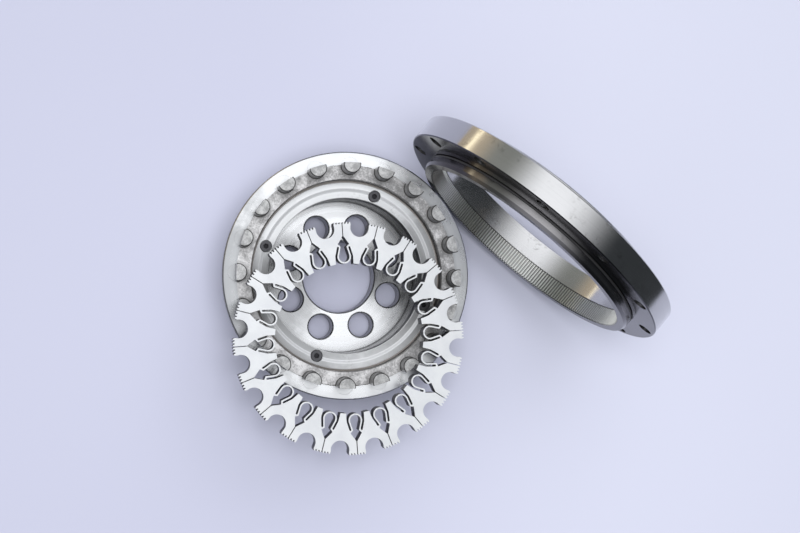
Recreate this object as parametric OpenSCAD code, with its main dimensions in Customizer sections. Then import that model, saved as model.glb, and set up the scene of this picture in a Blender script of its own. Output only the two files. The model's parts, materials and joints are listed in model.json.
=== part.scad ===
// Strain wave gear with a segmented flexure ring, shown with its three units pulled apart.
// 1. The base unit: a hub, a crossed roller bearing round it, and a pin carrier that turns
//    on the bearing and holds a circle of half-round drive pins.
// 2. The flexure ring: toothed segments joined by omega-shaped leaf springs. It lies askew
//    on the tops of the drive pins.
// 3. The ring gear: an internal gear with two teeth more, standing on its flange rim.
// Put together, the notches of the flexure ring drop over the drive pins and the rim of the
// pin carrier runs into the rear bore of the ring gear.
// Origin: hub axis, on the surface that the base stands on. +Z is the hub axis.

/* [Hub] */
// Radius of the through bore
hub_bore_r = 15; // [8:0.1:16.5]
// Thickness of the hub disc
hub_disc_t = 10.5; // [6:0.1:12]
// Number of screw holes in the disc
hub_hole_count = 8; // [3:1:10]
// Radius of each screw hole
hub_hole_r = 5.1; // [2:0.1:6]
// Radius of the circle of screw holes
hub_hole_circle_r = 22.15; // [21:0.05:25]
// Direction of the first screw hole
hub_hole_turn = 20.5; // [0:0.5:45]
// Radius of the recess above the disc
recess_r = 31.6; // [30.5:0.1:36]
// Wall between the recess and the bearing seat
hub_wall_t = 4.6; // [4:0.1:7]
// Width of the foot shoulder that carries the inner race
foot_shoulder = 2.8; // [1.5:0.1:3.3]
// Height of the foot, up to the bearing seat
foot_h = 14; // [12.5:0.1:20]
// Width of the turned groove round the disc
disc_groove_w = 0.4; // [0.2:0.05:1]
// Depth of the turned groove round the disc
disc_groove_d = 0.6; // [0.2:0.05:2]
// Break on machined edges
edge = 0.5; // [0.2:0.05:0.7]

/* [Bearing] */
// Width of the bearing
bearing_w = 10; // [9:0.1:14]
// Radial height of the bearing, inner seat to outer seat
bearing_section = 7.95; // [7.9:0.05:9]
// Gap between the inner and the outer race
race_gap = 0.7; // [0.4:0.05:1]
// Number of crossed rollers
roller_count = 48; // [12:2:50]
// Radius of a roller
roller_r = 2; // [1.5:0.05:2.1]
// How much shorter than its own diameter a roller is
roller_short = 0.1; // [0.05:0.05:0.4]
// Running play of a roller in its grooves
roller_play = 0.03; // [0.01:0.01:0.06]
// Thickness of a spacer disc between two rollers
spacer_t = 1; // [0.6:0.1:1.05]
// How far a spacer stays inside the roller radius
spacer_inset = 0.1; // [0.05:0.05:0.5]
// Height of the threaded lock ring below the bearing
lock_ring_h = 3.8; // [2.5:0.1:3.9]
// Radial width of the lock ring
lock_ring_w = 3.55; // [2:0.05:3.6]
// Gap between the bearing and its seat in the pin carrier
seat_gap = 0.05; // [0.02:0.01:0.1]

/* [Retainer ring] */
// Height of the retainer ring
retainer_h = 7; // [6:0.1:8]
// How far the retainer reaches out over the inner race
retainer_reach = 1.7; // [1:0.1:2.5]
// Drop from the outer land to the inner land
land_drop = 0.8; // [0.3:0.05:1.2]
// Width of the outer land
outer_land_w = 2.3; // [1.5:0.1:2.6]
// Width of the soft step between the two lands
land_step_w = 1.5; // [0.8:0.05:2]
// Number of retainer screws
screw_count = 4; // [2:1:12]
// Direction of the first retainer screw
screw_turn = 20.5; // [0:0.5:90]
// Distance of the screw circle from the recess wall
screw_inset = 2.8; // [2.7:0.05:3.1]
// Radius of a counterbore
counterbore_r = 2.5; // [2.35:0.05:2.6]
// Depth of a counterbore below the outer land
counterbore_d = 2.8; // [2.6:0.1:3.5]
// Radius of a screw head
screw_head_r = 2.2; // [1.8:0.05:2.3]
// Height of a screw head
screw_head_h = 2.5; // [1.8:0.1:2.6]
// Radius of a screw shank
screw_shank_r = 1.2; // [0.8:0.05:1.5]
// Play round a screw shank
screw_play = 0.05; // [0.03:0.01:0.1]
// How far a screw reaches into the hub wall
screw_grip = 7; // [4:0.5:9]
// Width across flats of the hexagon socket
hex_w = 2; // [1:0.1:2.4]
// Depth of the hexagon socket
hex_d = 1.3; // [0.6:0.1:1.8]

/* [Pin carrier] */
// Gap between the retainer ring and the pin carrier
carrier_gap = 0.8; // [0.5:0.05:1.2]
// Height of the pin floor above the retainer ring
floor_rise = 4; // [2:0.1:6]
// Wall outside the bearing seat
carrier_wall = 2.3; // [2:0.1:4]
// How far the rim stands out over the carrier wall
rim_out = 3.5; // [2.5:0.1:5]
// Height of the rim
rim_h = 5.3; // [4.8:0.1:8]
// Width of the turned band outside the pins
band_w = 5.6; // [5:0.1:6]
// How far the turned band lies below the pin floor
band_drop = 0.3; // [0.1:0.05:0.5]
// Height of the underside of the carrier wall
carrier_foot_z = 10; // [8:0.1:10]

/* [Carrier seal] */
// Height of the seal body
seal_h = 2.3; // [1.5:0.1:3]
// How deep the seal sits in the wall of the pin carrier
seal_depth = 1.5; // [0.8:0.1:2]
// Height of the sealing lip above the seal body
lip_h = 1.1; // [0.4:0.1:1.4]
// Thickness of the sealing lip
lip_t = 0.5; // [0.3:0.05:0.6]
// Running gap between the lip and the retainer ring
lip_gap = 0.05; // [0.02:0.01:0.1]
// Distance of the seal above the bearing
seal_above = 2.6; // [1:0.1:2.8]

/* [Drive pins] */
// Number of drive pins, the same as the number of segments
pin_count = 20; // [12:1:20]
// Radius of a drive pin
pin_r = 3.5; // [2:0.05:3.7]
// How far the pin centres lie inside the turned band
pin_inset = 0.05; // [0:0.05:1]
// How far the backs of the pins stand out over the turned band
pin_back_out = 0.7; // [0:0.05:1]
// Height of the pin tops above the pin floor
pin_rise = 7.65; // [3:0.05:9]
// Depth of a pin socket below the turned band
pin_depth = 4.2; // [2:0.1:4.3]
// Play round a pin in its socket
pin_play = 0.02; // [0.01:0.01:0.05]
// Break on the edge of a pin
pin_edge = 0.15; // [0.05:0.05:0.4]
// Direction of the first pin
pin_turn = 3.24; // [0:0.01:18]

/* [Flexure ring] */
// Place of the flexure ring along X
flex_x = 15.39; // [0:0.01:20]
// Place of the flexure ring along Y
flex_y = -19.75; // [-24:0.01:0]
// Direction of the slit before the first segment
flex_turn = 8.54; // [0:0.01:18]
// Gap between the pin tops and the flexure ring
flex_gap = 0.05; // [0.02:0.01:0.2]
// Thickness of the flexure ring
flex_t = 7; // [4:0.1:12]
// How far the tooth tips stand out beyond the pin circle
tip_reach = 1.4; // [1.2:0.05:3]
// Teeth per segment, those lost in the notch counted too
teeth_per_segment = 12; // [8:2:16]
// Depth of a tooth
tooth_depth = 0.75; // [0.4:0.05:1]
// Share of the pitch that a tooth space takes at the tips
space_share = 0.68; // [0.55:0.01:0.8]
// Share of the pitch that a tooth space takes at its bottom
space_floor = 0.26; // [0.15:0.01:0.4]
// Play between a drive pin and the walls of its notch
notch_play = 0.14; // [0.05:0.01:0.3]
// How far the notches lie inside the pin circle, so that the segments can move in and out
notch_in = 0.65; // [0.4:0.05:0.9]
// Width of a slit
slit_w = 0.35; // [0.3:0.01:0.5]
// How far inside the pin circle a slit ends
slit_in = 4; // [3.4:0.05:4.6]
// How far the shoulders of the opening lie inside the end of the slit
shoulder_in = 3.25; // [2.6:0.05:3.8]
// Half the width at the shoulders
shoulder_half = 2.25; // [1.6:0.05:2.6]
// How far the neck, where the leaf spring leaves the segment, lies inside the shoulders
neck_in = 0.95; // [0.7:0.05:1.2]
// Half the opening at the neck
neck_half = 1.15; // [0.9:0.05:1.3]
// How far the loop centres lie inside the neck
loop_in = 4; // [3.5:0.05:4.5]
// Outer radius of a leaf spring loop
loop_out_r = 2.7; // [2.4:0.05:2.8]
// Thickness of the leaf spring
leaf_t = 0.58; // [0.3:0.02:0.8]
// Width of the slot beside a leaf spring
slot_w = 0.8; // [0.5:0.05:0.9]
// How far the slot stops short of the neck
slot_short = 0.6; // [0.4:0.05:0.9]
// How far the flat inner end of a segment lies inside the loop centres
toe_in = 2.75; // [2.75:0.05:4]
// Gap where the two halves of a loop meet at its crown
crown_gap = 0.06; // [0.04:0.01:0.2]

/* [Ring gear] */
// Place of the ring gear along X
ring_x = 43.47; // [30:0.01:60]
// Gap between the rim of the pin carrier and the face of the ring gear
ring_gap = 0.53; // [0.2:0.01:10]
// How far the flange stands out beyond the rear spigot
flange_out = 7.9; // [7.2:0.1:16]
// Thickness of the flange
flange_t = 10.1; // [6:0.1:16]
// Teeth more than the flexure ring has
extra_teeth = 2; // [2:2:4]
// Clearance of the tooth tips over those of the flexure ring
mesh_gap = 0.35; // [0.1:0.05:0.5]
// Length of the teeth
ring_tooth_l = 7.86; // [6:0.01:12]
// How far the boss stands out in front of the flange
boss_h = 5.46; // [4.5:0.01:7]
// Wall of the boss outside the tooth tips
boss_wall = 4.25; // [4:0.05:5]
// Length of the lead-in bevel at the front of the boss
boss_bevel_l = 1.2; // [0.5:0.05:1.6]
// Depth of the lead-in bevel
boss_bevel_d = 0.7; // [0.3:0.05:1]
// Width of the seat ridge behind the seal groove
ridge_w = 0.7; // [0.4:0.05:1.2]
// How far the ridge stands over the boss
ridge_up = 0.25; // [0.1:0.05:0.5]
// Width of the seal groove
groove_w = 1.2; // [1.1:0.05:1.6]
// Depth of the seal groove
groove_d = 0.95; // [0.8:0.05:1.4]
// Running gap between the rear bore and the rim of the pin carrier
rear_gap = 0.1; // [0.05:0.01:0.3]
// Height of the rear spigot
spigot_h = 2.6; // [1:0.1:5]
// Wall of the rear spigot
spigot_wall = 2.7; // [1.5:0.1:3.2]
// Number of flange holes
flange_hole_count = 12; // [4:1:24]
// Radius of a flange hole
flange_hole_r = 2.8; // [1.5:0.1:3]
// Distance of the flange holes from the flange edge
flange_hole_inset = 4; // [3.6:0.05:5]
// Direction of the first flange hole
flange_hole_turn = 14.7; // [0:0.1:30]
// Radius of the section of the seal ring
o_ring_r = 0.5; // [0.3:0.05:0.5]

/* [Hidden] */
$fn = 96;
over = 1;
hub_wall_r = recess_r + hub_wall_t;
foot_r = hub_wall_r + foot_shoulder;
bearing_top = foot_h + bearing_w;
bearing_mid = foot_h + bearing_w / 2;
bearing_out_r = hub_wall_r + bearing_section;
roller_circle_r = hub_wall_r + bearing_section / 2 + 0.025;
race_in_r = roller_circle_r - race_gap / 2;
race_out_r = roller_circle_r + race_gap / 2;
groove_reach = (roller_r + roller_play) * sqrt(2);
groove_half = groove_reach - race_gap / 2;
retainer_r = hub_wall_r + retainer_reach;
retainer_top = bearing_top + retainer_h;
screw_circle_r = recess_r + screw_inset;
screw_seat_z = retainer_top - counterbore_d;
carrier_bore_r = retainer_r + carrier_gap;
seat_r = bearing_out_r + seat_gap;
carrier_r = seat_r + carrier_wall;
rim_r = carrier_r + rim_out;
floor_z = retainer_top + floor_rise;
band_z = floor_z - band_drop;
band_r = rim_r - band_w;
seal_z = bearing_top + seal_above;
seal_groove_r = carrier_bore_r + seal_depth;
pin_circle_r = band_r - pin_inset;
pin_top = floor_z + pin_rise;
flex_z = pin_top + flex_gap;
flex_tip_r = pin_circle_r + tip_reach;
slit_in_r = pin_circle_r - slit_in;
shoulder_r = slit_in_r - shoulder_in;
neck_r = shoulder_r - neck_in;
loop_r = neck_r - loop_in;
toe_r = loop_r - toe_in;
flex_angle = 360 / pin_count;
flex_pitch = flex_angle / teeth_per_segment;
flex_teeth = pin_count * teeth_per_segment;
notch_r = pin_r + notch_play;
notch_circle_r = pin_circle_r - notch_in;
leaf_r = loop_out_r - leaf_t / 2;
envelope_r = loop_out_r + slot_w;
neck = [neck_r, neck_half + leaf_t / 2];
mouth = atan2(neck[1], neck_r - loop_r) + acos(leaf_r / norm(neck - [loop_r, 0]));
leaf_side = [cos(mouth), sin(mouth)];
leaf_way = [sin(mouth), -cos(mouth)];
leaf_root = [loop_r, 0] + leaf_r * leaf_side;
leaf_lap = 0.1;
leaf_nip = 0.02;
leg_start = leaf_root - leaf_lap * leaf_way;
slot_end = neck - slot_short * leaf_way;
ring_teeth = flex_teeth + extra_teeth;
ring_tip_r = flex_tip_r + mesh_gap;
ring_root_r = ring_tip_r + tooth_depth;
boss_r = ring_tip_r + boss_wall;
ring_tooth_end = ring_tooth_l - boss_h;
rear_bore_r = rim_r + rear_gap;
rear_z = flange_t + spigot_h;
spigot_r = rear_bore_r + spigot_wall;
flange_r = spigot_r + flange_out;
ring_y = rim_r + ring_gap + boss_h;

function segment_name(k) = str("flex_segment_", k < 10 ? "0" : "", k);
function beside(point, offset) = point + offset * leaf_side;
function mirrored(point) = [point[0], -point[1]];
function polar(r, a) = [r * cos(a), r * sin(a)];

// ---- base unit ----

// Copies of a feature round the hub axis
module around(count, radius, turn) {
    for (i = [0:count - 1])
        rotate([0, 0, turn + i * 360 / count]) translate([radius, 0, 0]) children();
}

// A drill with a broken edge at its top, from z = 0 down
module edged_drill(r, depth) {
    translate([0, 0, -depth - over]) cylinder(r = r, h = depth + 2 * over);
    translate([0, 0, -edge]) cylinder(r1 = r, r2 = r + edge + over, h = edge + over);
}

module hub() {
    color("gainsboro") difference() {
        rotate_extrude() polygon([
            [hub_bore_r, 0],
            [foot_r - edge, 0],
            [foot_r, edge],
            [foot_r, hub_disc_t],
            [recess_r, hub_disc_t],
            [recess_r, hub_disc_t - disc_groove_d],
            [recess_r - disc_groove_w, hub_disc_t - disc_groove_d],
            [recess_r - disc_groove_w, hub_disc_t],
            [hub_bore_r + edge, hub_disc_t],
            [hub_bore_r, hub_disc_t - edge]
        ]);
        translate([0, 0, hub_disc_t])
            around(hub_hole_count, hub_hole_circle_r, hub_hole_turn) edged_drill(hub_hole_r, hub_disc_t);
    }
}

// Stands on the hub disc, carries the bearing and takes the retainer screws
module hub_sleeve() {
    color("gainsboro") difference() {
        rotate_extrude() polygon([
            [recess_r, hub_disc_t],
            [foot_r, hub_disc_t],
            [foot_r, foot_h],
            [hub_wall_r, foot_h],
            [hub_wall_r, bearing_top],
            [recess_r, bearing_top]
        ]);
        translate([0, 0, bearing_top - screw_grip - over])
            around(screw_count, screw_circle_r, screw_turn)
                cylinder(r = screw_shank_r + screw_play, h = screw_grip + 2 * over);
    }
}

module retainer_ring() {
    step_out = retainer_r - outer_land_w;
    low = retainer_top - land_drop;
    color("silver") difference() {
        rotate_extrude() polygon(concat(
            [[recess_r, bearing_top], [recess_r, low - edge / 2], [recess_r + edge / 2, low]],
            [for (a = [0:15:180]) [step_out - land_step_w * (1 - a / 180), low + land_drop * (1 - cos(a)) / 2]],
            [[retainer_r - edge / 2, retainer_top], [retainer_r, retainer_top - edge / 2], [retainer_r, bearing_top]]
        ));
        around(screw_count, screw_circle_r, screw_turn) {
            translate([0, 0, screw_seat_z]) cylinder(r = counterbore_r, h = counterbore_d + over);
            translate([0, 0, bearing_top - over])
                cylinder(r = screw_shank_r + screw_play, h = retainer_h);
        }
    }
}

module retainer_screws() {
    shank_l = screw_seat_z - bearing_top + screw_grip;
    color("dimgray") around(screw_count, screw_circle_r, screw_turn)
        translate([0, 0, screw_seat_z]) difference() {
            union() {
                cylinder(r = screw_head_r, h = screw_head_h);
                translate([0, 0, -shank_l]) cylinder(r = screw_shank_r, h = shank_l + over);
            }
            translate([0, 0, screw_head_h - hex_d])
                cylinder(r = hex_w / 2 / cos(30), h = hex_d + over, $fn = 6);
        }
}

// ---- crossed roller bearing ----

module bearing_inner_ring() {
    color("lightsteelblue") rotate_extrude() polygon([
        [hub_wall_r, foot_h],
        [race_in_r, foot_h],
        [race_in_r, bearing_mid - groove_half],
        [roller_circle_r - groove_reach, bearing_mid],
        [race_in_r, bearing_mid + groove_half],
        [race_in_r, bearing_top],
        [hub_wall_r, bearing_top]
    ]);
}

// One half of the split outer ring; up is 1 for the upper half and -1 for the lower
module outer_ring_half(up) {
    color("lightsteelblue") rotate_extrude() polygon([
        [roller_circle_r + groove_reach, bearing_mid],
        [bearing_out_r, bearing_mid],
        [bearing_out_r, bearing_mid + up * bearing_w / 2],
        [race_out_r, bearing_mid + up * bearing_w / 2],
        [race_out_r, bearing_mid + up * groove_half]
    ]);
}

module bearing_outer_ring_lower() {
    outer_ring_half(-1);
}

module bearing_outer_ring_upper() {
    outer_ring_half(1);
}

// Every second roller leans the other way
module bearing_rollers() {
    roller_l = 2 * roller_r - roller_short;
    color("whitesmoke") for (i = [0:roller_count - 1])
        rotate([0, 0, i * 360 / roller_count]) translate([roller_circle_r, 0, bearing_mid])
            rotate([0, i % 2 == 0 ? 45 : -45, 0]) cylinder(r = roller_r, h = roller_l, center = true);
}

module roller_spacers() {
    color("tan") for (i = [0:roller_count - 1])
        rotate([0, 0, (i + 0.5) * 360 / roller_count]) translate([roller_circle_r, 0, bearing_mid])
            rotate([90, 0, 0]) cylinder(r = roller_r - spacer_inset, h = spacer_t, center = true);
}

module bearing_lock_ring() {
    color("silver") rotate_extrude()
        translate([bearing_out_r - lock_ring_w, foot_h - lock_ring_h]) square([lock_ring_w, lock_ring_h]);
}

// ---- pin carrier ----

module pin_carrier() {
    color("gainsboro") difference() {
        rotate_extrude() polygon([
            [seat_r, carrier_foot_z],
            [carrier_r - edge, carrier_foot_z],
            [carrier_r, carrier_foot_z + edge],
            [carrier_r, band_z - rim_h],
            [rim_r - edge, band_z - rim_h],
            [rim_r, band_z - rim_h + edge],
            [rim_r, band_z - edge],
            [rim_r - edge, band_z],
            [band_r, band_z],
            [band_r, floor_z],
            [carrier_bore_r + edge / 2, floor_z],
            [carrier_bore_r, floor_z - edge / 2],
            [carrier_bore_r, seal_z + seal_h],
            [seal_groove_r, seal_z + seal_h],
            [seal_groove_r, seal_z],
            [carrier_bore_r, seal_z],
            [carrier_bore_r, bearing_top],
            [seat_r, bearing_top]
        ]);
        around(pin_count, pin_circle_r, pin_turn) translate([0, 0, band_z - pin_depth])
            cylinder(r = pin_r + pin_play, h = pin_depth + band_drop + over);
    }
}

// Round in their sockets, turned back to half rounds above the band
module drive_pins() {
    color("darkgray") difference() {
        around(pin_count, pin_circle_r, pin_turn) rotate_extrude() polygon([
            [0, band_z - pin_depth],
            [pin_r, band_z - pin_depth],
            [pin_r, pin_top - pin_edge],
            [pin_r - pin_edge, pin_top],
            [0, pin_top]
        ]);
        rotate_extrude() translate([band_r + pin_back_out, band_z]) square([pin_r, pin_top - band_z + over]);
    }
}

module carrier_seal() {
    lip_r = retainer_r + lip_gap;
    color("saddlebrown") rotate_extrude() polygon([
        [lip_r, seal_z],
        [seal_groove_r, seal_z],
        [seal_groove_r, seal_z + seal_h],
        [carrier_bore_r, seal_z + seal_h],
        [lip_r + lip_t, seal_z + seal_h],
        [lip_r + lip_t / 2, seal_z + seal_h + lip_h],
        [lip_r, seal_z + seal_h + lip_h]
    ]);
}

// ---- flexure ring ----

// What is cut away round one leaf spring; the slit lies along +X
module spring_opening() {
    translate([slit_in_r, -slit_w / 2]) square([flex_tip_r - slit_in_r + over, slit_w]);
    polygon([
        [slit_in_r, slit_w / 2],
        [shoulder_r, shoulder_half],
        beside(neck, -leaf_t / 2),
        beside(leaf_root, -leaf_t / 2),
        mirrored(beside(leaf_root, -leaf_t / 2)),
        mirrored(beside(neck, -leaf_t / 2)),
        [shoulder_r, -shoulder_half],
        [slit_in_r, -slit_w / 2]
    ]);
    for (side = [0, 1]) mirror([0, side]) {
        polygon([
            beside(slot_end, leaf_t / 2),
            beside(slot_end, leaf_t / 2 + slot_w),
            beside(leg_start, leaf_t / 2 + slot_w - leaf_nip),
            beside(leg_start, leaf_t / 2)
        ]);
        translate(beside(slot_end, leaf_t / 2 + slot_w / 2)) circle(r = slot_w / 2);
    }
    translate([loop_r, 0]) circle(r = envelope_r);
    translate([toe_r - over, -envelope_r]) square([loop_r - toe_r + over, 2 * envelope_r]);
}

// The half of one leaf spring on the +Y side of its slit: half the loop and one leg
module half_spring() {
    far = 2 * loop_out_r;
    intersection() {
        union() {
            difference() {
                translate([loop_r, 0]) circle(r = loop_out_r);
                translate([loop_r, 0]) circle(r = loop_out_r - leaf_t);
                polygon([
                    [loop_r, 0],
                    [loop_r, 0] + far * leaf_side,
                    [loop_r + 2 * far, 0],
                    [loop_r, 0] + far * mirrored(leaf_side)
                ]);
            }
            polygon([
                beside(neck, leaf_t / 2),
                beside(leg_start, leaf_t / 2 - leaf_nip),
                beside(leg_start, leaf_nip - leaf_t / 2),
                beside(neck, -leaf_t / 2)
            ]);
        }
        translate([loop_r - far, crown_gap / 2]) square([2 * far, far]);
    }
}

// One tooth space of the flexure ring, along +X
module tooth_space() {
    pitch = flex_tip_r * flex_pitch * PI / 180;
    slope = (space_share - space_floor) / 2 * pitch / tooth_depth;
    polygon([
        [flex_tip_r - tooth_depth, -space_floor / 2 * pitch],
        [flex_tip_r + over, -space_share / 2 * pitch - slope * over],
        [flex_tip_r + over, space_share / 2 * pitch + slope * over],
        [flex_tip_r - tooth_depth, space_floor / 2 * pitch]
    ]);
}

// Outline of one segment, with its notch along +X
module segment_outline() {
    half = flex_angle / 2;
    reach = flex_tip_r + over;
    difference() {
        intersection() {
            circle(r = flex_tip_r);
            polygon([
                [toe_r, -toe_r * tan(half)],
                [reach, -reach * tan(half)],
                [reach, reach * tan(half)],
                [toe_r, toe_r * tan(half)]
            ]);
        }
        rotate(half) spring_opening();
        rotate(-half) spring_opening();
        translate([notch_circle_r, 0]) circle(r = notch_r);
        translate([notch_circle_r, -notch_r]) square([reach - notch_circle_r, 2 * notch_r]);
        for (i = [0:teeth_per_segment]) rotate((i - teeth_per_segment / 2) * flex_pitch) tooth_space();
    }
    rotate(-half) half_spring();
    rotate(half) mirror([0, 1]) half_spring();
}

module flex_segment(k) {
    color("whitesmoke") translate([flex_x, flex_y, flex_z])
        rotate([0, 0, flex_turn + (k - 0.5) * flex_angle]) linear_extrude(flex_t) segment_outline();
}

// ---- ring gear ----

// Turns a shape whose +Z is the rear of the ring gear to its place, standing on its rim
module stood_up() {
    translate([ring_x, ring_y, flange_r]) rotate([-90, 0, 0]) children();
}

// The opening inside the teeth, with the tooth spaces round it
module ring_tooth_outline() {
    pitch = 360 / ring_teeth;
    slack = 0.1;
    grow = (space_share - space_floor) / 2 * slack / tooth_depth;
    polygon([for (i = [0:ring_teeth - 1]) each [
        polar(ring_tip_r - slack, (i - space_share / 2 - grow) * pitch),
        polar(ring_root_r, (i - space_floor / 2) * pitch),
        polar(ring_root_r, (i + space_floor / 2) * pitch),
        polar(ring_tip_r - slack, (i + space_share / 2 + grow) * pitch)
    ]]);
}

module ring_gear() {
    bevel = 0.8 * edge;
    color("slategray") stood_up() difference() {
        rotate_extrude() polygon([
            [ring_tip_r, bevel - boss_h],
            [ring_tip_r + bevel, -boss_h],
            [boss_r - boss_bevel_d, -boss_h],
            [boss_r, boss_bevel_l - boss_h],
            [boss_r, -groove_w - ridge_w],
            [boss_r - groove_d, -groove_w - ridge_w],
            [boss_r - groove_d, -ridge_w],
            [boss_r + ridge_up, -ridge_w],
            [boss_r + ridge_up, 0],
            [flange_r - bevel, 0],
            [flange_r, bevel],
            [flange_r, flange_t - bevel],
            [flange_r - bevel, flange_t],
            [spigot_r, flange_t],
            [spigot_r, rear_z - bevel],
            [spigot_r - bevel, rear_z],
            [rear_bore_r + bevel, rear_z],
            [rear_bore_r, rear_z - bevel],
            [rear_bore_r, ring_tooth_end],
            [ring_tip_r, ring_tooth_end]
        ]);
        translate([0, 0, -boss_h - over])
            linear_extrude(ring_tooth_l + over + (rear_z - ring_tooth_end) / 2) ring_tooth_outline();
        around(flange_hole_count, flange_r - flange_hole_inset, -flange_hole_turn)
            translate([0, 0, -over]) cylinder(r = flange_hole_r, h = flange_t + 2 * over);
    }
}

module o_ring() {
    color("black") stood_up() translate([0, 0, -ridge_w - groove_w / 2]) rotate_extrude()
        translate([boss_r - groove_d + o_ring_r, 0]) circle(r = o_ring_r);
}

hub();
hub_sleeve();
retainer_ring();
retainer_screws();
bearing_inner_ring();
bearing_outer_ring_lower();
bearing_outer_ring_upper();
bearing_rollers();
roller_spacers();
bearing_lock_ring();
carrier_seal();
pin_carrier();
drive_pins();
ring_gear();
o_ring();
for (k = [1:pin_count])
    flex_segment(k);
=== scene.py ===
import json
import math

import bmesh
import bpy
from mathutils import Matrix, Vector


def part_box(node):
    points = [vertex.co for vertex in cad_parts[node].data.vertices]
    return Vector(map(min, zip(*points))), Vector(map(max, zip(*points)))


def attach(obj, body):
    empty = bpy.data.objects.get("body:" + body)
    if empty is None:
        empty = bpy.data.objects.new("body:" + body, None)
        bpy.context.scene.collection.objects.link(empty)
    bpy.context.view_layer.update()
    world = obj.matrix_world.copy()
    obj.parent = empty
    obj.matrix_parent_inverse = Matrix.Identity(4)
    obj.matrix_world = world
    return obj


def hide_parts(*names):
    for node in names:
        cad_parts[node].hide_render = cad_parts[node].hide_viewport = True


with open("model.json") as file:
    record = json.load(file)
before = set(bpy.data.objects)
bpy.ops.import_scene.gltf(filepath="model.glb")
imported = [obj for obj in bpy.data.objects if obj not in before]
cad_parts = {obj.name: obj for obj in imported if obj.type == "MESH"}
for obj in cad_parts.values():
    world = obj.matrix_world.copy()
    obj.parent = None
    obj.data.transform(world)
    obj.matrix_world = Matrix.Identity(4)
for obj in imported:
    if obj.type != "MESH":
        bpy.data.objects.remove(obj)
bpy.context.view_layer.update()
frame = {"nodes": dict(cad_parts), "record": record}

MM = 0.001
SEGMENTS = 20
NODES = frame["nodes"]
MOUNTS = {m["name"]: m for m in frame["record"]["mounts"]}

# Where the units stand and the sizes that their finishes follow, in metres and radians
HUB_CENTRE = Vector(MOUNTS["hub_bore"]["pos_m"])
RING_CENTRE = Vector(MOUNTS["ring_flange_bolts"]["pos_m"])
SCREW_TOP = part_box("retainer_screws")[1].z
PIN_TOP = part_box("drive_pins")[1].z
RING_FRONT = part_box("ring_gear")[0].y
RIM_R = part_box("pin_carrier")[1].x
FLOOR_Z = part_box("pin_carrier")[1].z
BAND_Z = FLOOR_Z - 0.0003
FLOOR_IN_R, FLOOR_OUT_R = 0.0385, 0.0444
RING_TIP_R = 0.0461
BOSS_R = RING_TIP_R + 0.00425
PIN_R = 0.0035
PIN_CIRCLE_R = 0.04435
PIN_TURN = math.radians(3.24)
HUB_HOLES = MOUNTS["hub_bolt_circle"]["dims"]
HOLE_R = HUB_HOLES["hole_r_mm"] * MM
HOLE_CIRCLE_R = HUB_HOLES["pcd_mm"] / 2 * MM
HOLE_TURN = math.radians(20.5)
RECESS_R = 0.0316
TOOTH_END = RING_FRONT + 0.00786
FLANGE_FRONT = RING_CENTRE.y


# ---- node trees ----

class Wiring:
    """A thin helper for building one node tree."""

    def __init__(self, tree):
        self.tree = tree

    def node(self, kind, **settings):
        made = self.tree.nodes.new(kind)
        for key, value in settings.items():
            setattr(made, key, value)
        return made

    def feed(self, socket, value):
        if isinstance(value, bpy.types.NodeSocket):
            self.tree.links.new(value, socket)
        elif value is not None:
            socket.default_value = value

    def maths(self, operation, *values, clamp=False):
        made = self.node("ShaderNodeMath", operation=operation, use_clamp=clamp)
        for socket, value in zip(made.inputs, values):
            self.feed(socket, value)
        return made.outputs[0]

    def times(self, first, second):
        return self.maths("MULTIPLY", first, second)

    def plus(self, first, second):
        return self.maths("ADD", first, second)

    def less(self, first, second):
        return self.maths("SUBTRACT", first, second)

    def between(self, share, first, second):
        """The first number where the share is 0, and the second where it is 1."""
        return self.plus(self.times(share, second), self.times(self.less(1.0, share), first))

    def vector(self, operation, *values):
        made = self.node("ShaderNodeVectorMath", operation=operation)
        for socket, value in zip(made.inputs, values):
            self.feed(socket, value)
        return made.outputs["Value" if operation in ("LENGTH", "DOT_PRODUCT", "DISTANCE") else "Vector"]

    def ramp(self, value, low, high, to_low=0.0, to_high=1.0):
        made = self.node("ShaderNodeMapRange", interpolation_type="SMOOTHSTEP")
        for name, given in zip(("Value", "From Min", "From Max", "To Min", "To Max"),
                               (value, low, high, to_low, to_high)):
            self.feed(made.inputs[name], given)
        return made.outputs["Result"]

    def mix(self, share, first, second):
        made = self.node("ShaderNodeMix", data_type="RGBA")
        self.feed(made.inputs["Factor"], share)
        self.feed(made.inputs["A"], first)
        self.feed(made.inputs["B"], second)
        return made.outputs["Result"]

    def noise(self, where, scale, detail=2.0, roughness=0.5, dimensions="3D"):
        made = self.node("ShaderNodeTexNoise", noise_dimensions=dimensions)
        self.feed(made.inputs["W" if dimensions == "1D" else "Vector"], where)
        for name, value in (("Scale", scale), ("Detail", detail), ("Roughness", roughness)):
            self.feed(made.inputs[name], value)
        return made.outputs[0]

    def group(self, group, **values):
        made = self.node("ShaderNodeGroup")
        made.node_tree = group
        for name, value in values.items():
            self.feed(made.inputs[name.replace("_", " ")], value)
        return made.outputs


def new_group(name, inputs, outputs):
    """An empty shader group with its named sockets; returns its wiring and its two ends."""
    tree = bpy.data.node_groups.new(name, "ShaderNodeTree")
    for label, kind, value in inputs:
        socket = tree.interface.new_socket(label, in_out="INPUT", socket_type=kind)
        socket.default_value = value
    for label, kind in outputs:
        tree.interface.new_socket(label, in_out="OUTPUT", socket_type=kind)
    wires = Wiring(tree)
    return wires, wires.node("NodeGroupInput").outputs, wires.node("NodeGroupOutput").inputs


FLOAT, VECTOR = "NodeSocketFloat", "NodeSocketVector"
LEVEL = (1.0, 1.0, 0.0)


def split(w, vector):
    """The three parts of a vector."""
    parts = w.node("ShaderNodeSeparateXYZ")
    w.feed(parts.inputs[0], vector)
    return parts.outputs


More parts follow.
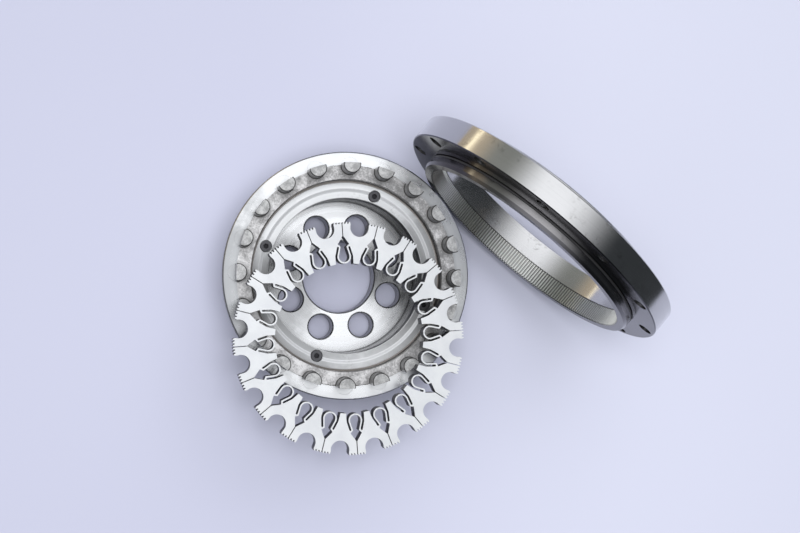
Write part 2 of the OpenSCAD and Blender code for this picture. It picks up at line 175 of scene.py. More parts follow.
def make_axis_radius():
    """Distance from an axis, and the way along the outline of a turned piece. Across is 0 along the axis."""
    w, given, out = new_group("axis radius", [("Place", VECTOR, (0, 0, 0)), ("Centre", VECTOR, (0, 0, 0)),
                              ("Across", VECTOR, (1, 1, 0))], [("Radius", FLOAT), ("Meridian", FLOAT)])
    offset = w.vector("SUBTRACT", given["Place"], given["Centre"])
    radius = w.vector("LENGTH", w.vector("MULTIPLY", offset, given["Across"]))
    axial = w.vector("MULTIPLY", offset, w.vector("SUBTRACT", (1.0, 1.0, 1.0), given["Across"]))
    w.feed(out["Radius"], radius)
    w.feed(out["Meridian"], w.plus(radius, w.vector("LENGTH", axial)))
    return w.tree


def make_band():
    """1 between two values, with soft edges."""
    w, given, out = new_group("band", [("Value", FLOAT, 0), ("Low", FLOAT, 0), ("High", FLOAT, 1),
                              ("Soft", FLOAT, 0.0001)], [("Mask", FLOAT)])
    up = w.ramp(given["Value"], w.less(given["Low"], given["Soft"]),
                w.plus(given["Low"], given["Soft"]))
    down = w.ramp(given["Value"], w.less(given["High"], given["Soft"]),
                  w.plus(given["High"], given["Soft"]))
    w.feed(out["Mask"], w.maths("SUBTRACT", up, down, clamp=True))
    return w.tree


def make_turning_marks():
    """Fine and coarse grooves left by a lathe, from the way along the outline."""
    w, given, out = new_group("turning marks", [("Way", FLOAT, 0), ("Pitch", FLOAT, 0.0003)],
                              [("Fine", FLOAT), ("Coarse", FLOAT)])
    turns = w.maths("DIVIDE", given["Way"], given["Pitch"])
    w.feed(out["Fine"], w.noise(turns, 1.0, 3.0, 0.6, "1D"))
    w.feed(out["Coarse"], w.noise(turns, 0.17, 1.0, 0.5, "1D"))
    return w.tree


def make_grain():
    """Small specks and broad clouds that break up a plain metal face."""
    w, given, out = new_group("metal grain", [("Place", VECTOR, (0, 0, 0)), ("Speck Size", FLOAT, 0.0006),
                              ("Cloud Size", FLOAT, 0.012)], [("Speck", FLOAT), ("Cloud", FLOAT)])
    w.feed(out["Speck"], w.noise(given["Place"], w.maths("DIVIDE", 1.0, given["Speck Size"]), 2.0, 0.6))
    w.feed(out["Cloud"], w.noise(given["Place"], w.maths("DIVIDE", 1.0, given["Cloud Size"]), 3.0, 0.55))
    return w.tree


def make_stain():
    """Thin smears and finger marks, few and far between."""
    w, given, out = new_group("stain", [("Place", VECTOR, (0, 0, 0)), ("Size", FLOAT, 0.007)],
                              [("Stain", FLOAT)])
    broad = w.ramp(w.noise(given["Place"], w.maths("DIVIDE", 1.0, given["Size"]), 2.0, 0.5), 0.56, 0.72)
    fine = w.ramp(w.noise(given["Place"], w.maths("DIVIDE", 5.0, given["Size"]), 4.0, 0.7), 0.45, 0.68)
    w.feed(out["Stain"], w.times(broad, fine))
    return w.tree


def make_sheen_arcs():
    """Painted sheen on a turned face round the hub: two opposite arcs with cloudy edges, painted brighter
    where the lights would be mirrored.
    """
    w, given, out = new_group("painted sheen arcs", [("Place", VECTOR, (0, 0, 0)), ("Bright Way", VECTOR, (1, 0, 0)),
                              ("Cloudy", FLOAT, 0.4), ("Lean", FLOAT, 0.0)], [("Mask", FLOAT)])
    level = w.vector("MULTIPLY", given["Place"], LEVEL)
    along = w.vector("DOT_PRODUCT", w.vector("NORMALIZE", level), given["Bright Way"])
    aligned = w.plus(w.maths("POWER", along, 2.0), w.times(along, given["Lean"]))
    cloud = w.less(w.noise(given["Place"], 90.0, 3.0, 0.6), 0.5)
    fine = w.less(w.noise(given["Place"], 420.0, 2.0, 0.5), 0.5)
    uneven = w.times(w.plus(w.times(cloud, 2.0), fine), given["Cloudy"])
    w.feed(out["Mask"], w.ramp(w.plus(aligned, uneven), 0.15, 0.85))
    return w.tree


def make_ring_of_centres():
    """How far a place lies from the nearest of some centre lines spread evenly round the hub."""
    w, given, out = new_group("ring of centres", [("Place", VECTOR, (0, 0, 0)), ("Count", FLOAT, 8.0),
                              ("Turn", FLOAT, 0.0), ("Circle Radius", FLOAT, 0.02)], [("Reach", FLOAT)])
    parts = split(w, given["Place"])
    level = w.vector("LENGTH", w.vector("MULTIPLY", given["Place"], LEVEL))
    turn = w.less(w.maths("ARCTAN2", parts["Y"], parts["X"]), given["Turn"])
    steps = w.maths("DIVIDE", w.times(turn, given["Count"]), math.tau)
    steps = w.less(w.maths("FRACT", w.plus(steps, 0.5)), 0.5)
    aside = w.maths("DIVIDE", w.times(steps, math.tau), given["Count"])
    ahead = w.less(w.times(level, w.maths("COSINE", aside)), given["Circle Radius"])
    across = w.times(level, w.maths("SINE", aside))
    squares = w.plus(w.maths("POWER", ahead, 2.0), w.maths("POWER", across, 2.0))
    w.feed(out["Reach"], w.maths("SQRT", squares))
    return w.tree


AXIS_RADIUS = make_axis_radius()
BAND = make_band()
TURNING = make_turning_marks()
GRAIN = make_grain()
STAIN = make_stain()
SHEEN_ARCS = make_sheen_arcs()
CENTRES = make_ring_of_centres()


# ---- materials ----

UP_AXIS = (0.0, 0.0, 1.0)
RING_AXIS = (0.0, 1.0, 0.0)


def level_way(degrees):
    """A level direction, turned from +X towards +Y."""
    return (math.cos(math.radians(degrees)), math.sin(math.radians(degrees)), 0.0)


BRIGHT_WAY = level_way(143)
# Way towards which the painted sheen on the pin floor brightens
FLOOR_SHEEN_WAY = level_way(250)


def new_material(name):
    """A material with its wiring, its Principled shader and the place on the piece."""
    material = bpy.data.materials.new(name)
    material.use_nodes = True
    w = Wiring(material.node_tree)
    shader = material.node_tree.nodes["Principled BSDF"]
    place = w.node("ShaderNodeTexCoord").outputs["Object"]
    return material, w, shader, place


def set_bump(w, shader, height, strength, distance):
    """Let a height over the surface tilt its normals."""
    bump = w.node("ShaderNodeBump")
    w.feed(bump.inputs["Height"], height)
    bump.inputs["Strength"].default_value = strength
    bump.inputs["Distance"].default_value = distance
    w.feed(shader.inputs["Normal"], bump.outputs["Normal"])


def facing(w):
    """The face's direction, part by part."""
    return split(w, w.node("ShaderNodeNewGeometry").outputs["Normal"])


def from_axis(w, place, centre, axis):
    """Distance from an axis, and the way along the outline of what is turned round it."""
    across = tuple(1.0 - part for part in axis)
    return w.group(AXIS_RADIUS, Place=place, Centre=tuple(centre), Across=across)


def within(w, value, low, high, soft):
    """1 where a value lies between two others."""
    return w.group(BAND, Value=value, Low=low, High=high, Soft=soft)["Mask"]


def pin_reach(w, place):
    """How far a place lies from the middle line of the nearest drive pin."""
    pins = w.group(CENTRES, Place=place, Count=SEGMENTS, Turn=PIN_TURN, Circle_Radius=PIN_CIRCLE_R)
    return pins["Reach"]


def mottled(w, grain, clouds):
    """Clouds with specks in them; the clouds' share is given."""
    return w.plus(w.times(grain["Cloud"], clouds), w.times(grain["Speck"], 1.0 - clouds))


def dimmed(colour, loss):
    """A darker copy of a colour."""
    return tuple(part * (1 - loss) for part in colour[:3]) + (1,)


def brush(w, shader, place, centre, axis, twist):
    """Stretch the gloss across grooves that run round an axis."""
    circling = w.vector("CROSS_PRODUCT", axis, w.vector("SUBTRACT", place, tuple(centre)))
    turn = w.node("ShaderNodeVectorTransform", vector_type="VECTOR",
                  convert_from="OBJECT", convert_to="WORLD")
    w.feed(turn.inputs[0], circling)
    normal = w.node("ShaderNodeNewGeometry").outputs["Normal"]
    w.feed(shader.inputs["Tangent"], w.vector("CROSS_PRODUCT", normal, turn.outputs[0]))
    shader.inputs["Anisotropic"].default_value = twist


def turned_steel(name, dark, light, rough, pitch=0.0003, twist=0.7, wall=None, slope=None,
                 sheen_dimming=0.0, lean=0.0, edges=None):
    """Steel off the lathe: rings of slightly different shade, gloss and height round the hub's axis, with
    optional painted sheen arcs and painted shade on walls and slopes.
    """
    material, w, shader, place = new_material(name)
    marks = w.group(TURNING, Way=from_axis(w, place, HUB_CENTRE, UP_AXIS)["Meridian"], Pitch=pitch)
    grain = w.group(GRAIN, Place=place, Speck_Size=0.0009, Cloud_Size=0.014)
    stain = w.group(STAIN, Place=place)["Stain"]
    shade = w.plus(w.times(marks["Fine"], 0.5), w.times(marks["Coarse"], 0.5))
    shade = w.ramp(w.plus(w.times(shade, 0.6), w.times(grain["Cloud"], 0.4)), 0.3, 0.7)
    colour = w.mix(shade, dark, light)
    # painted sheen: outside the two bright arcs the colour is dimmed, in place of mirrored light
    if sheen_dimming:
        arcs = w.group(SHEEN_ARCS, Place=place, Bright_Way=BRIGHT_WAY, Cloudy=0.2, Lean=lean)["Mask"]
        colour = w.mix(arcs, w.mix(shade, dimmed(dark, sheen_dimming), dimmed(light, sheen_dimming)), colour)
    if edges:
        colour = edges(w, place, colour)
    metal = 1.0
    # painted shade: faces turned away from up take the given dark wall colour, and sloping faces the given
    # grey
    if wall:
        level = w.maths("ABSOLUTE", facing(w)["Z"])
        if slope:
            sloping = within(w, level, 0.6, 0.995, 0.004)
            colour = w.mix(sloping, colour, slope)
            metal = w.less(1.0, w.times(sloping, 0.8))
        colour = w.mix(w.ramp(level, 0.7, 0.4), colour, wall)
    w.feed(shader.inputs["Base Color"], w.mix(w.times(stain, 0.35), colour, (0.22, 0.21, 0.20, 1)))
    w.feed(shader.inputs["Roughness"], w.ramp(marks["Coarse"], 0.3, 0.7, rough * 0.9, rough * 1.15))
    w.feed(shader.inputs["Metallic"], metal)
    brush(w, shader, place, HUB_CENTRE, UP_AXIS, twist)
    set_bump(w, shader, marks["Fine"], 0.04, 0.00002)
    return material


def disc_edges(w, place, colour):
    """Dark lines where the disc meets its wall and round each screw hole, and painted shade darkening the
    disc over the last 1.4 mm before its wall.
    """
    radius = from_axis(w, place, HUB_CENTRE, UP_AXIS)["Radius"]
    holes = w.group(CENTRES, Place=place, Count=HUB_HOLES["count"], Turn=HOLE_TURN,
                    Circle_Radius=HOLE_CIRCLE_R)
    hole_rim = w.ramp(holes["Reach"], HOLE_R + 0.0003, HOLE_R + 0.0001)
    wall_foot = w.ramp(radius, RECESS_R - 0.0005, RECESS_R - 0.0001)
    rim = w.times(w.maths("MAXIMUM", hole_rim, wall_foot), 0.8)
    # painted shade: the disc darkens towards its wall, where the dark wall would be mirrored
    shaded = w.maths("MAXIMUM", rim, w.ramp(radius, RECESS_R - 0.0014, RECESS_R, 0.0, 0.3))
    return w.mix(shaded, colour, (0.10, 0.10, 0.105, 1))


BAND_DARK, BAND_LIGHT = (0.38, 0.39, 0.40, 1), (0.88, 0.89, 0.90, 1)


def band_finish(w, place):
    """The turned band on the rim of the pin carrier: its colour, its gloss and its marks, with a painted
    sheen in two arcs and painted shade along the rim's side and outer edge.
    """
    turned = from_axis(w, place, HUB_CENTRE, UP_AXIS)
    marks = w.group(TURNING, Way=turned["Meridian"], Pitch=0.0004)
    grain = w.group(GRAIN, Place=place, Speck_Size=0.0011, Cloud_Size=0.006)
    # painted sheen: two cloudy arcs of the band are made brighter
    arcs = w.group(SHEEN_ARCS, Place=place, Bright_Way=BRIGHT_WAY, Cloudy=0.45)["Mask"]
    shade = w.plus(w.times(marks["Coarse"], 0.25), w.times(grain["Cloud"], 0.15))
    shade = w.maths("ADD", w.times(arcs, 0.75), shade, clamp=True)
    # painted shade: the rim's outer edge and its side face are darkened
    corner = w.ramp(turned["Radius"], RIM_R - 0.0006, RIM_R - 0.0002)
    side = w.ramp(split(w, place)["Z"], BAND_Z - 0.0003, BAND_Z - 0.0009)
    edge = w.times(w.maths("MAXIMUM", corner, side), 0.75)
    colour = w.mix(edge, w.mix(shade, BAND_DARK, BAND_LIGHT), (0.10, 0.10, 0.11, 1))
    return colour, w.ramp(grain["Cloud"], 0.3, 0.7, 0.24, 0.34), marks


def pin_carrier_steel():
    """Turned band and rim outside, ground and stained floor round the drive pins, with painted shadow round
    each pin's foot and a painted sheen on the floor.
    """
    material, w, shader, place = new_material("pin_carrier_steel")
    band, band_rough, marks = band_finish(w, place)
    radius = from_axis(w, place, HUB_CENTRE, UP_AXIS)["Radius"]
    grain = w.group(GRAIN, Place=place, Speck_Size=0.0007, Cloud_Size=0.0032)
    stain = w.group(STAIN, Place=place)["Stain"]
    on_top = w.ramp(split(w, place)["Z"], FLOOR_Z - 0.0010, FLOOR_Z - 0.0004)
    on_floor = w.times(within(w, radius, FLOOR_IN_R, FLOOR_OUT_R, 0.00006), on_top)
    # painted sheen: the floor is lighter towards one side, where the lights would be mirrored
    leaning = w.vector("DOT_PRODUCT", w.vector("NORMALIZE", w.vector("MULTIPLY", place, LEVEL)), FLOOR_SHEEN_WAY)
    mottle = w.plus(mottled(w, grain, 0.6), w.times(leaning, 0.06))
    floor = w.mix(w.ramp(mottle, 0.34, 0.66), (0.36, 0.355, 0.355, 1), (0.84, 0.83, 0.83, 1))
    floor = w.mix(w.times(stain, 0.6), floor, (0.13, 0.125, 0.12, 1))
    ragged = w.plus(radius, w.ramp(w.noise(place, 900.0, 3.0, 0.7), 0.2, 0.8, -0.00022, 0.00022))
    burr = within(w, ragged, FLOOR_OUT_R - 0.0001, FLOOR_OUT_R + 0.00018, 0.00004)
    patchy = w.ramp(w.noise(place, 60.0, 2.0, 0.5), 0.45, 0.6)
    burr = w.times(w.times(burr, patchy), on_top)
    reach = pin_reach(w, place)
    # painted shadow: a dark line round each pin's foot and a cloudy dark patch close to it
    outline = within(w, reach, PIN_R - 0.00005, PIN_R + 0.00032, 0.00008)
    pin_foot_shade = w.times(w.ramp(reach, PIN_R + 0.0022, PIN_R), w.ramp(grain["Cloud"], 0.42, 0.62))
    pin_shade_marks = w.maths("MAXIMUM", w.times(outline, 0.92), w.times(pin_foot_shade, 0.6))
    floor = w.mix(pin_shade_marks, floor, (0.06, 0.058, 0.055, 1))
    colour = w.mix(on_floor, band, floor)
    w.feed(shader.inputs["Base Color"], w.mix(burr, colour, (0.07, 0.065, 0.06, 1)))
    rough_floor = w.ramp(mottle, 0.3, 0.7, 0.5, 0.38)
    w.feed(shader.inputs["Roughness"], w.between(on_floor, band_rough, rough_floor))
    shader.inputs["Metallic"].default_value = 1.0
    brush(w, shader, place, HUB_CENTRE, UP_AXIS, 0.6)
    rise = w.times(w.plus(grain["Speck"], grain["Cloud"]), on_floor)
    set_bump(w, shader, w.plus(w.times(marks["Fine"], 0.3), rise), 0.12, 0.00004)
    return material


def pin_steel():
    """Drive pins: grey, mottled tops and round sides painted darker as shade, with painted shade along the
    tops' round edge and at the foot; below the band they share its finish.
    """
    material, w, shader, place = new_material("pin_steel")
    band, band_rough, marks = band_finish(w, place)
    grain = w.group(GRAIN, Place=place, Speck_Size=0.0006, Cloud_Size=0.0022)
    height = split(w, place)["Z"]
    mottle = mottled(w, grain, 0.6)
    shade = w.ramp(mottle, 0.38, 0.64)
    # painted shade: the tops get a lighter colour and the round sides a darker copy of it
    top = w.mix(shade, (0.42, 0.42, 0.42, 1), (0.64, 0.64, 0.634, 1))
    side = w.mix(shade, (0.26, 0.26, 0.265, 1), (0.46, 0.46, 0.465, 1))
    colour = w.mix(w.ramp(facing(w)["Z"], 0.5, 0.9), side, top)
    # painted shade: dark along the top's round edge and over the lowest 0.7 mm of each pin
    rounded = w.times(w.ramp(pin_reach(w, place), PIN_R - 0.00045, PIN_R - 0.00025),
                      w.ramp(height, PIN_TOP - 0.0008, PIN_TOP - 0.0004))
    foot = w.less(1.0, w.ramp(height, FLOOR_Z, FLOOR_Z + 0.0007))
    colour = w.mix(w.times(w.maths("MAXIMUM", rounded, foot), 0.92), colour, (0.05, 0.05, 0.05, 1))
    flush = w.less(1.0, w.ramp(height, BAND_Z + 0.00005, BAND_Z + 0.0002))
    w.feed(shader.inputs["Base Color"], w.mix(flush, colour, band))
    rough = w.ramp(mottle, 0.3, 0.7, 0.5, 0.36)
    w.feed(shader.inputs["Roughness"], w.between(flush, rough, band_rough))
    shader.inputs["Metallic"].default_value = 1.0
    brush(w, shader, place, HUB_CENTRE, UP_AXIS, 0.6)
    specks = w.times(grain["Speck"], w.less(1.0, flush))
    set_bump(w, shader, w.plus(w.times(marks["Fine"], 0.3), specks), 0.12, 0.00003)
    return material


def flexure_steel():
    """Fine ground, nearly white face over dark walls, whose darkness is partly their spark-eroded finish and
    partly painted shade.
    """
    material, w, shader, place = new_material("flexure_steel")
    grain = w.group(GRAIN, Place=place, Speck_Size=0.0005, Cloud_Size=0.010)
    face = w.mix(w.ramp(mottled(w, grain, 0.7), 0.35, 0.65), (0.74, 0.755, 0.78, 1), (0.82, 0.835, 0.85, 1))
    stripes = w.noise(w.vector("MULTIPLY", place, (1.0, 1.0, 0.15)), 1600.0, 2.0, 0.6)
    # the walls' dark colour is partly their spark-eroded finish and partly painted shade
    wall = w.mix(w.ramp(stripes, 0.35, 0.65), (0.05, 0.051, 0.06, 1), (0.13, 0.13, 0.145, 1))
    flat = w.ramp(facing(w)["Z"], 0.2, 0.6)
    w.feed(shader.inputs["Base Color"], w.mix(flat, wall, face))
    w.feed(shader.inputs["Roughness"], w.ramp(grain["Speck"], 0.3, 0.7, 0.46, 0.6))
    shader.inputs["Metallic"].default_value = 0.72
    set_bump(w, shader, grain["Speck"], 0.08, 0.00002)
    return material


def ring_gear_steel():
    """Ring gear: polished rim and bore, dark boss, pale teeth, and painted shade on the front faces, in the
    tooth gaps, at the teeth's rear ends and over one end.
    """
    material, w, shader, place = new_material("ring_gear_steel")
    turned = from_axis(w, place, RING_CENTRE, RING_AXIS)
    radius = turned["Radius"]
    streak = w.group(TURNING, Way=turned["Meridian"], Pitch=0.0005)["Fine"]
    parts = split(w, place)
    depth = parts["Y"]
    grain = w.group(GRAIN, Place=place, Speck_Size=0.0007, Cloud_Size=0.02)
    stain = w.group(STAIN, Place=place)["Stain"]
    shade = w.ramp(w.plus(w.times(streak, 0.3), w.times(grain["Cloud"], 0.7)), 0.3, 0.7)
    plain = w.mix(shade, (0.51, 0.51, 0.515, 1), (0.57, 0.57, 0.575, 1))
    boss = within(w, depth, RING_FRONT - 0.001, FLANGE_FRONT + 0.0001, 0.0002)
    boss = w.times(boss, w.ramp(radius, RING_TIP_R + 0.0009, RING_TIP_R + 0.0012))
    plain = w.mix(w.times(boss, 0.68), plain, (0.16, 0.15, 0.155, 1))
    # painted shade: faces turned to the front are darkened in place of the table's mirrored light
    front = w.ramp(w.times(facing(w)["Y"], -1.0), 0.3, 0.6)
    plain = w.mix(w.times(front, 0.92), plain, (0.06, 0.06, 0.07, 1))
    toothed = within(w, radius, RING_TIP_R - 0.0001, RING_TIP_R + 0.0009, 0.0001)
    toothed = w.times(toothed, w.less(1.0, w.ramp(depth, TOOTH_END - 0.0002, TOOTH_END)))
    toothed = w.times(toothed, w.less(1.0, front))
    # painted shade: dark deep in the tooth gaps
    gap = w.ramp(radius, RING_TIP_R + 0.0001, RING_TIP_R + 0.00045)
    teeth = w.mix(grain["Speck"], (0.66, 0.67, 0.645, 1), (0.84, 0.85, 0.82, 1))
    teeth = w.mix(w.times(gap, 0.55), teeth, (0.10, 0.10, 0.095, 1))
    colour = w.mix(w.times(toothed, 0.85), plain, teeth)
    # painted shade: a dark line where the teeth end at the back, with the bore behind them in shadow
    ends = within(w, depth, TOOTH_END - 0.0004, TOOTH_END + 0.0004, 0.0001)
    ends = w.times(ends, w.ramp(radius, RING_TIP_R + 0.0014, RING_TIP_R + 0.0010))
    colour = w.mix(w.times(ends, 0.9), colour, (0.03, 0.03, 0.03, 1))
    # painted shade: the low-x end of the bore and teeth in front of the flange is darkened
    painted_end_shade = w.ramp(parts["X"], RING_CENTRE.x - 0.034, RING_CENTRE.x - 0.043)
    painted_end_shade = w.times(painted_end_shade, w.less(1.0, w.ramp(depth, FLANGE_FRONT + 0.0004, FLANGE_FRONT + 0.001)))
    painted_end_shade = w.times(painted_end_shade, w.ramp(radius, BOSS_R + 0.00145, BOSS_R + 0.00065))
    colour = w.mix(w.times(painted_end_shade, 0.9), colour, (0.06, 0.055, 0.055, 1))
    w.feed(shader.inputs["Base Color"], w.mix(w.times(stain, 0.45), colour, (0.12, 0.115, 0.11, 1)))
    smooth = w.ramp(grain["Cloud"], 0.3, 0.7, 0.15, 0.22)
    w.feed(shader.inputs["Roughness"], w.plus(smooth, w.times(toothed, 0.18)))
    shader.inputs["Metallic"].default_value = 1.0
    brush(w, shader, place, RING_CENTRE, RING_AXIS, 0.75)
    set_bump(w, shader, streak, 0.01, 0.00001)
    return material


def screw_steel():
    """Blackened screw: worn grey round the head, dark inside the hexagon socket."""
    material, w, shader, place = new_material("screw_steel")
    grain = w.group(GRAIN, Place=place, Speck_Size=0.0004, Cloud_Size=0.002)
    dark = w.mix(grain["Cloud"], (0.012, 0.012, 0.014, 1), (0.045, 0.045, 0.05, 1))
    worn = w.mix(grain["Speck"], (0.05, 0.05, 0.055, 1), (0.15, 0.15, 0.16, 1))
    top = w.times(w.ramp(facing(w)["Z"], 0.5, 0.9),
                  w.ramp(split(w, place)["Z"], SCREW_TOP - 0.0006, SCREW_TOP - 0.0002))
    w.feed(shader.inputs["Base Color"], w.mix(top, dark, worn))
    w.feed(shader.inputs["Roughness"], w.ramp(grain["Speck"], 0.3, 0.7, 0.32, 0.5))
    shader.inputs["Metallic"].default_value = 0.8
    set_bump(w, shader, grain["Speck"], 0.1, 0.00002)
    return material


def rubber(name, dark, light):
    """Dull, slightly grainy rubber."""
    material, w, shader, place = new_material(name)
    grain = w.group(GRAIN, Place=place, Speck_Size=0.0003, Cloud_Size=0.003)
    w.feed(shader.inputs["Base Color"], w.mix(grain["Cloud"], dark, light))
    w.feed(shader.inputs["Roughness"], w.ramp(grain["Speck"], 0.3, 0.7, 0.4, 0.6))
    set_bump(w, shader, grain["Speck"], 0.15, 0.00003)
    return material


def spacer_plastic():
    """Tan moulded plastic between the rollers."""
    material, w, shader, place = new_material("spacer_plastic")
    grain = w.group(GRAIN, Place=place, Speck_Size=0.0005, Cloud_Size=0.004)
    w.feed(shader.inputs["Base Color"], w.mix(grain["Cloud"], (0.50, 0.40, 0.24, 1), (0.60, 0.50, 0.32, 1)))
    w.feed(shader.inputs["Roughness"], w.ramp(grain["Speck"], 0.3, 0.7, 0.45, 0.6))
    return material


# ---- pieces ----

WELD_GAP = 0.002 * MM
FLAT_ANGLE, BREAK_ANGLE, SMOOTH_ANGLE = math.radians(0.8), math.radians(30), math.radians(32)


def wear(node, material):
    """A CAD node keeps its shape and takes this finish."""
    mesh = NODES[node].data
    mesh.materials.clear()
    mesh.materials.append(material)


def break_edges(solid, width):
    """Weld a CAD mesh, clear its flat faces and round its sharp edges."""
    bmesh.ops.remove_doubles(solid, verts=solid.verts, dist=WELD_GAP)
    bmesh.ops.dissolve_limit(solid, angle_limit=FLAT_ANGLE, verts=solid.verts, edges=solid.edges)
    sharp = [e for e in solid.edges if len(e.link_faces) == 2 and e.calc_face_angle() > BREAK_ANGLE]
    bmesh.ops.bevel(solid, geom=sharp, offset=width, segments=2, profile=0.6, affect="EDGES",
                    clamp_overlap=True)


def finish_mesh(mesh, material):
    """Give a mesh its finish and smooth it between its sharp edges."""
    mesh.materials.clear()
    mesh.materials.append(material)
    mesh.shade_smooth()
    mesh.set_sharp_from_angle(angle=SMOOTH_ANGLE)


def place_piece(name, mesh, node, body):
    """A finished mesh stands for a CAD node and rides on its body."""
    piece = bpy.data.objects.new(name, mesh)
    bpy.context.collection.objects.link(piece)
    even = piece.modifiers.new("even normals", "WEIGHTED_NORMAL")
    even.keep_sharp = True
    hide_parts(node)
    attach(piece, body)


def eased(node, body, material, width):
    """A copy of a CAD node with its sharp edges broken, which stands for the node."""
    solid = bmesh.new()
    solid.from_mesh(NODES[node].data)
    break_edges(solid, width)
    mesh = bpy.data.meshes.new(node + "_eased")
    solid.to_mesh(mesh)
    solid.free()
    finish_mesh(mesh, material)
    place_piece(node + "_eased", mesh, node, body)


def one_pin():
    """The drive pin that starts the ring, taken from the frame's pins, with its edges broken."""
    solid = bmesh.new()
    solid.from_mesh(NODES["drive_pins"].data)
    half_step = math.pi / SEGMENTS
    others = [v for v in solid.verts
              if abs(math.remainder(math.atan2(v.co.y, v.co.x) - PIN_TURN, math.tau)) > half_step]
    bmesh.ops.delete(solid, geom=others, context="VERTS")
    break_edges(solid, 0.12 * MM)
    mesh = bpy.data.meshes.new("one_pin")
    solid.to_mesh(mesh)
    solid.free()
    return mesh


def ring_of_pins_tree():
    """Geometry tree: the given piece repeated evenly round the upright axis."""
    tree = bpy.data.node_groups.new("ring of pins", "GeometryNodeTree")
    sockets = {label: tree.interface.new_socket(label, in_out="INPUT", socket_type=kind).identifier
               for label, kind in (("Pin", "NodeSocketGeometry"), ("Count", "NodeSocketInt"),
                                   ("Finish", "NodeSocketMaterial"))}
    tree.interface.new_socket("Pins", in_out="OUTPUT", socket_type="NodeSocketGeometry")
    w = Wiring(tree)
    given = w.node("NodeGroupInput").outputs
    spots = w.node("GeometryNodePoints")
    w.feed(spots.inputs["Count"], given["Count"])
    step = w.maths("DIVIDE", math.tau, given["Count"])
    turn = w.node("ShaderNodeCombineXYZ")
    w.feed(turn.inputs["Z"], w.times(w.node("GeometryNodeInputIndex").outputs[0], step))
    spread = w.node("GeometryNodeInstanceOnPoints")
    w.feed(spread.inputs["Points"], spots.outputs[0])
    w.feed(spread.inputs["Instance"], given["Pin"])
    w.feed(spread.inputs["Rotation"], turn.outputs[0])
    solid = w.node("GeometryNodeRealizeInstances")
    w.feed(solid.inputs[0], spread.outputs[0])
    finish = w.node("GeometryNodeSetMaterial")
    w.feed(finish.inputs["Geometry"], solid.outputs[0])
    w.feed(finish.inputs["Material"], given["Finish"])
    w.feed(w.node("NodeGroupOutput").inputs[0], finish.outputs[0])
    return tree, sockets


def drive_pins(material):
    """All the drive pins as one piece, made by the tree from one pin."""
    tree, sockets = ring_of_pins_tree()
    seed = bpy.data.objects.new("pin_seed", one_pin())
    bpy.context.collection.objects.link(seed)
    repeat = seed.modifiers.new("ring of pins", "NODES")
    repeat.node_group = tree
    repeat[sockets["Count"]] = SEGMENTS
    repeat[sockets["Finish"]] = material
    graph = bpy.context.evaluated_depsgraph_get()
    mesh = bpy.data.meshes.new_from_object(seed.evaluated_get(graph), depsgraph=graph)
    seed.modifiers.remove(repeat)
    bpy.data.objects.remove(seed)
    mesh.name = "drive_pins_ring"
    finish_mesh(mesh, material)
    place_piece("drive_pins_ring", mesh, "drive_pins", "carrier")


def dress_base():
    """Finishes for the hub, the bearing, the pin carrier and its pins."""
    # the wall and slope colours below are painted shade, and the dimmed share outside the arcs is painted
    # sheen
    disc = turned_steel("hub_steel", (0.86, 0.87, 0.885, 1), (0.97, 0.98, 0.99, 1), 0.26, pitch=0.0004,
                        twist=0.45, wall=(0.20, 0.20, 0.21, 1), sheen_dimming=0.5, edges=disc_edges)
    sleeve = turned_steel("sleeve_steel", (0.42, 0.42, 0.43, 1), (0.55, 0.55, 0.56, 1), 0.24,
                          wall=(0.022, 0.023, 0.03, 1))
    land = turned_steel("retainer_steel", (0.88, 0.89, 0.90, 1), (0.98, 0.99, 1.0, 1), 0.44, pitch=0.0005,
                        twist=0.3, wall=(0.035, 0.036, 0.045, 1), slope=(0.62, 0.63, 0.65, 1),
                        sheen_dimming=0.5, lean=0.55)
    race = turned_steel("race_steel", (0.55, 0.56, 0.58, 1), (0.66, 0.67, 0.69, 1), 0.14)
    wear("hub", disc)
    wear("hub_sleeve", sleeve)
    wear("retainer_ring", land)
    eased("retainer_screws", "hub", screw_steel(), 0.08 * MM)
    wear("pin_carrier", pin_carrier_steel())
    drive_pins(pin_steel())
    wear("carrier_seal", rubber("grey_rubber", (0.30, 0.275, 0.26, 1), (0.40, 0.37, 0.35, 1)))
    wear("bearing_rollers", turned_steel("roller_steel", (0.7, 0.7, 0.72, 1), (0.8, 0.8, 0.82, 1), 0.08))
    wear("roller_spacers", spacer_plastic())
    for node in ("bearing_inner_ring", "bearing_outer_ring_lower", "bearing_outer_ring_upper",
                 "bearing_lock_ring"):
        wear(node, race)


def dress_flexure_ring():
    """Each segment of the flexure ring with its edges broken, on its own body."""
    steel = flexure_steel()
    for k in range(1, SEGMENTS + 1):
        eased("flex_segment_%02d" % k, "segment_%02d" % k, steel, 0.09 * MM)


def dress_ring_gear():
    """Finishes for the ring gear and its O-ring."""
    wear("ring_gear", ring_gear_steel())
    wear("o_ring", rubber("black_rubber", (0.012, 0.012, 0.013, 1), (0.03, 0.03, 0.032, 1)))


# ---- studio ----

TABLE_SIDE, TABLE_PLACE = 0.8, (0.04, 0.04, -0.0002)
TABLE_DARK, TABLE_LIGHT = (0.46, 0.47, 0.59, 1), (0.575, 0.59, 0.705, 1)
BACKDROP_COLOUR = (0.735, 0.755, 0.885, 1)
CAMERA_AIM = Vector((18.23, 21.88, 0)) * MM
CAMERA_WAY = Vector((-0.1194, -0.1403, 0.9829)).normalized()
CAMERA_TOP = Vector((-0.650, 0.760, 0.0))
CAMERA_REACH = 643.44 * MM
CAMERA_LENS = 67.5


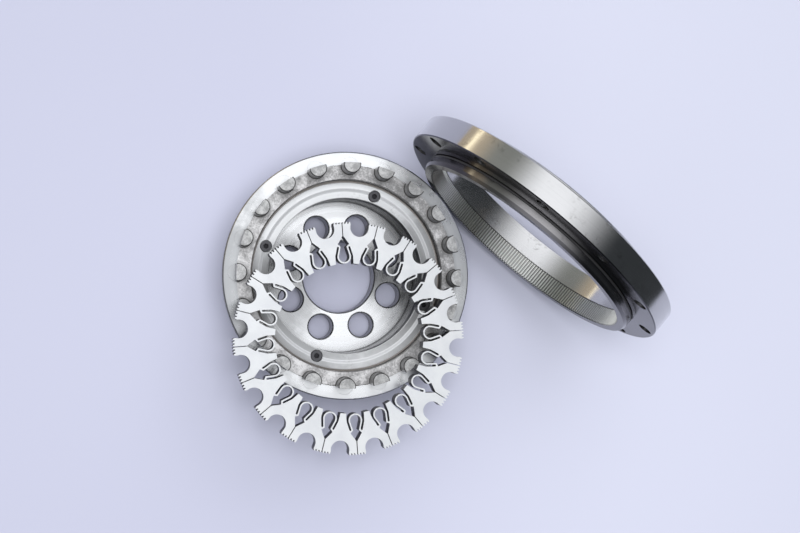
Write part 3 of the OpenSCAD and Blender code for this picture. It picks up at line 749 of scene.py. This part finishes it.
def make_table():
    """A wide pale table top, with painted light making it a little lighter towards one corner."""
    bpy.ops.mesh.primitive_plane_add(size=TABLE_SIDE, location=TABLE_PLACE)
    table = bpy.context.object
    table.name = "table_top"
    material, w, shader, place = new_material("table_paint_and_light")
    cloud = w.noise(place, 3.0, 2.0, 0.5)
    # painted light: the table is lighter towards one corner
    lighter = w.ramp(w.vector("DOT_PRODUCT", place, (0.76, 0.65, 0.0)), -0.10, 0.08, 0.0, 0.7)
    shade = w.plus(w.times(cloud, 0.3), lighter)
    w.feed(shader.inputs["Base Color"], w.mix(shade, TABLE_DARK, TABLE_LIGHT))
    shader.inputs["Roughness"].default_value = 0.75
    shader.inputs["Specular IOR Level"].default_value = 0.2
    table.data.materials.append(material)


def make_camera():
    """Looks down at the three units from above the front left."""
    right = CAMERA_TOP.cross(CAMERA_WAY).normalized()
    up = CAMERA_WAY.cross(right).normalized()
    data = bpy.data.cameras.new("camera")
    data.lens = CAMERA_LENS
    data.sensor_width = 36.0
    camera = bpy.data.objects.new("camera", data)
    bpy.context.collection.objects.link(camera)
    turn = Matrix((right, up, CAMERA_WAY)).transposed().to_4x4()
    camera.matrix_world = Matrix.Translation(CAMERA_AIM + CAMERA_WAY * CAMERA_REACH) @ turn
    bpy.context.scene.camera = camera


def make_lamp(name, place, aim, side, power):
    """A square soft lamp that the metal doesn't mirror."""
    data = bpy.data.lights.new(name, "AREA")
    data.shape = "RECTANGLE"
    data.size = data.size_y = side
    data.energy = power
    lamp = bpy.data.objects.new(name, data)
    bpy.context.collection.objects.link(lamp)
    lamp.location = place
    lamp.visible_glossy = False
    lamp.rotation_euler = (Vector(aim) - Vector(place)).to_track_quat("-Z", "Y").to_euler()


def make_world():
    """A bright ceiling light over dim walls, with a warm strip of light low on one side."""
    world = bpy.data.worlds.new("studio")
    bpy.context.scene.world = world
    world.use_nodes = True
    w = Wiring(world.node_tree)
    background = world.node_tree.nodes["Background"]
    direction = w.node("ShaderNodeTexCoord").outputs["Generated"]
    parts = split(w, direction)
    rise = parts["Z"]
    west = w.times(parts["X"], -1.0)
    walls = w.mix(w.ramp(west, 0.1, 0.75), (0.05, 0.055, 0.06, 1), (0.34, 0.35, 0.325, 1))
    warm = w.times(w.ramp(west, 0.70, 0.92), w.less(1.0, w.ramp(rise, 0.02, 0.34)))
    walls = w.mix(warm, walls, (0.68, 0.57, 0.42, 1))
    strip = w.times(within(w, rise, -0.105, -0.035, 0.03), w.ramp(west, 0.80, 0.95))
    walls = w.mix(strip, walls, (2.7, 2.35, 1.65, 1))
    ceiling = w.times(w.ramp(west, -0.65, 0.15), w.ramp(west, 0.86, 0.42))
    ceiling = w.times(ceiling, w.ramp(rise, 0.25, 0.65))
    dome = w.mix(ceiling, walls, (1.52, 1.54, 1.58, 1))
    seen = w.node("ShaderNodeLightPath").outputs["Is Camera Ray"]
    w.feed(background.inputs["Color"], w.mix(seen, dome, BACKDROP_COLOUR))
    background.inputs["Strength"].default_value = 1.0


def make_studio():
    make_table()
    make_camera()
    make_world()
    make_lamp("window", (0.08, 0.60, 1.0), (0.02, 0.02, 0), 0.4, 0.8)
    make_lamp("ceiling lamp", (-0.03, -0.02, 0.8), (0.0, 0.0, 0), 0.3, 3.8)
    bpy.context.scene.view_settings.view_transform = "Standard"


dress_base()
dress_flexure_ring()
dress_ring_gear()
make_studio()
